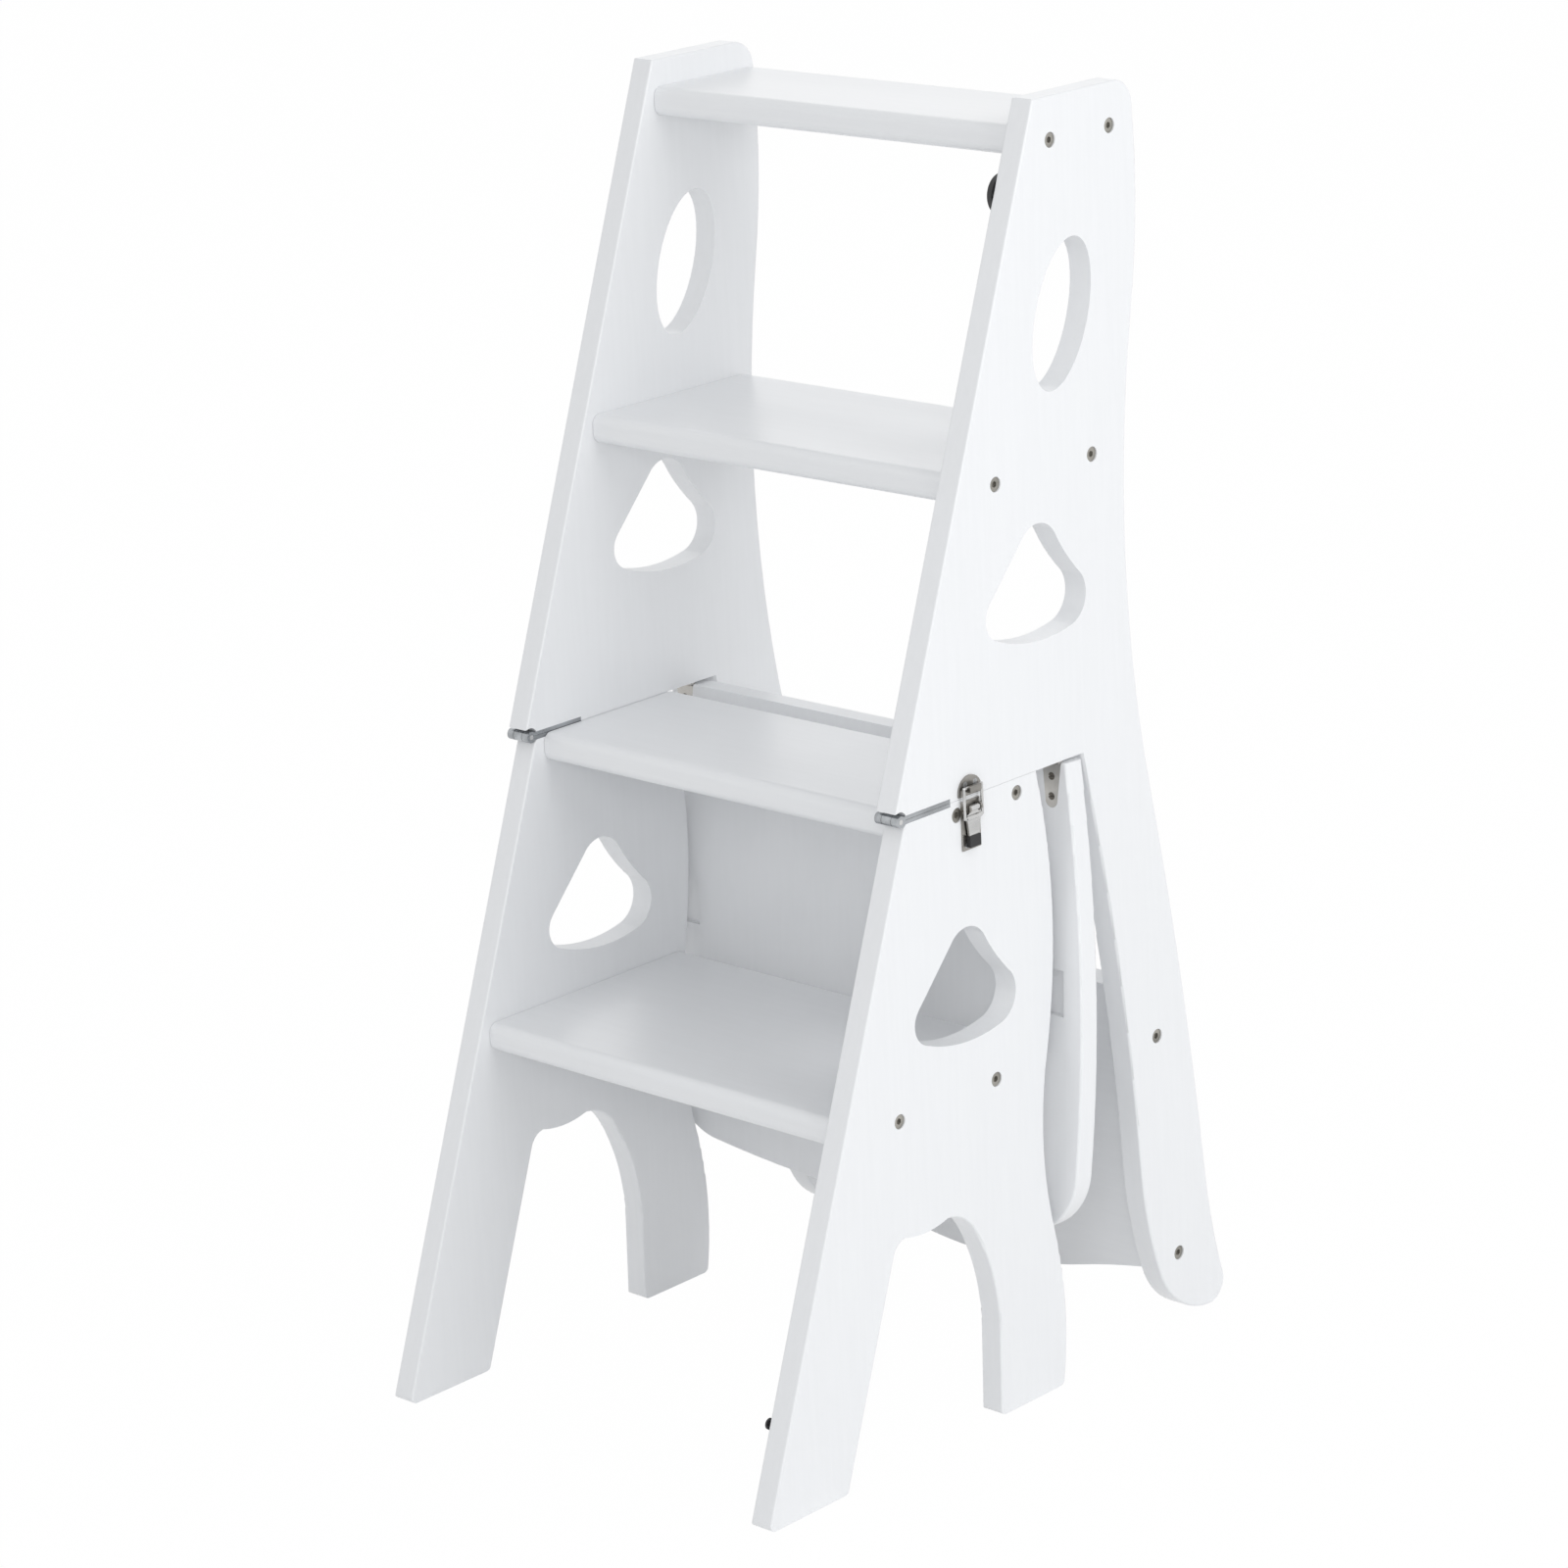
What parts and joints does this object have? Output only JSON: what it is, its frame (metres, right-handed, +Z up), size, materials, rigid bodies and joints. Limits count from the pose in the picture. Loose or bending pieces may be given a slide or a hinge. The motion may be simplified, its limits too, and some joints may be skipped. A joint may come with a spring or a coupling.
{
  "type": "four-step ladder",
  "caption": "White wooden ladder with open treads between cut-out side boards; the upper half hinges over at the front and makes a chair with panel seat and backrest.",
  "frame": {"origin": "on the floor, in the middle of the standing ladder's outline", "axes": "+Z up, +X to the right of someone who climbs it, +Y towards its back"},
  "size_m": [0.3982, 0.4819, 0.9],
  "materials": {
    "white_paint": "satin",
    "bronze_bolt": "satin",
    "steel": "satin",
    "nickel": "polished",
    "screw": "satin",
    "black_metal": "satin",
    "dark_grip": "matte"
  },
  "bodies": {
    "lower_frame": {"lower_right_side": "white_paint", "lower_left_side": "white_paint", "third_tread": "white_paint", "bottom_tread": "white_paint", "lower_tread_bolts": "bronze_bolt", "lower_barrel_nuts": "steel", "fold_hinge_lower_leaves": "nickel", "fold_hinge_pins": "nickel", "fold_hinge_lower_screws": "screw", "latch_base": "nickel", "latch_base_screws": "screw", "latch_pin": "nickel", "catch_knob": "black_metal"},
    "upper_frame": {"upper_right_side": "white_paint", "upper_left_side": "white_paint", "second_tread": "white_paint", "top_tread": "white_paint", "upper_tread_bolts": "bronze_bolt", "upper_barrel_nuts": "steel", "panel_bolts": "bronze_bolt", "backrest_panel": "white_paint", "panel_barrel_nuts": "steel", "fold_hinge_upper_leaves": "nickel", "fold_hinge_upper_screws": "screw", "seat_hinge_frame_leaves": "nickel", "seat_hinge_pins": "nickel", "seat_hinge_frame_screws": "screw", "latch_keeper": "nickel", "latch_keeper_screws": "screw", "catch_screw": "black_metal"},
    "seat": {"seat_panel": "white_paint", "seat_hinge_seat_leaves": "nickel", "seat_hinge_seat_screws": "screw"},
    "lever": {"latch_lever": "nickel", "latch_grip": "dark_grip"},
    "bail": {"latch_bail": "nickel"},
    "hook": {"catch_hook": "black_metal"}
  },
  "joints": [
    {"name": "fold", "type": "hinge", "parent": "lower_frame", "child": "upper_frame", "pos_m": [0, -0.0862, 0.45], "axis": [1, 0, 0], "range_deg": [0, 180]},
    {"name": "seat_fold", "type": "hinge", "parent": "upper_frame", "child": "seat", "pos_m": [0, 0.0782, 0.45], "axis": [1, 0, 0], "range_deg": [-87.2, 0]},
    {"name": "latch_lever_swing", "type": "hinge", "parent": "lower_frame", "child": "lever", "pos_m": [0.1844, -0.0173, 0.443], "axis": [0, -1, 0], "range_deg": [0, 90]},
    {"name": "latch_bail_swing", "type": "hinge", "parent": "lever", "child": "bail", "pos_m": [0.1841, -0.0173, 0.4368], "axis": [0, -1, 0], "range_deg": [-168, 0]},
    {"name": "catch_swing", "type": "hinge", "parent": "upper_frame", "child": "hook", "pos_m": [0.161, 0.06099, 0.8377], "axis": [1, 0, 0], "range_deg": [0, 150.2]}
  ],
  "couplings": [
    {"joint": "seat_fold", "follows": "fold", "ratio": -0.48444},
    {"joint": "latch_lever_swing", "follows": "fold", "ratio": 0.5},
    {"joint": "latch_bail_swing", "follows": "fold", "ratio": -0.93333}
  ]
}
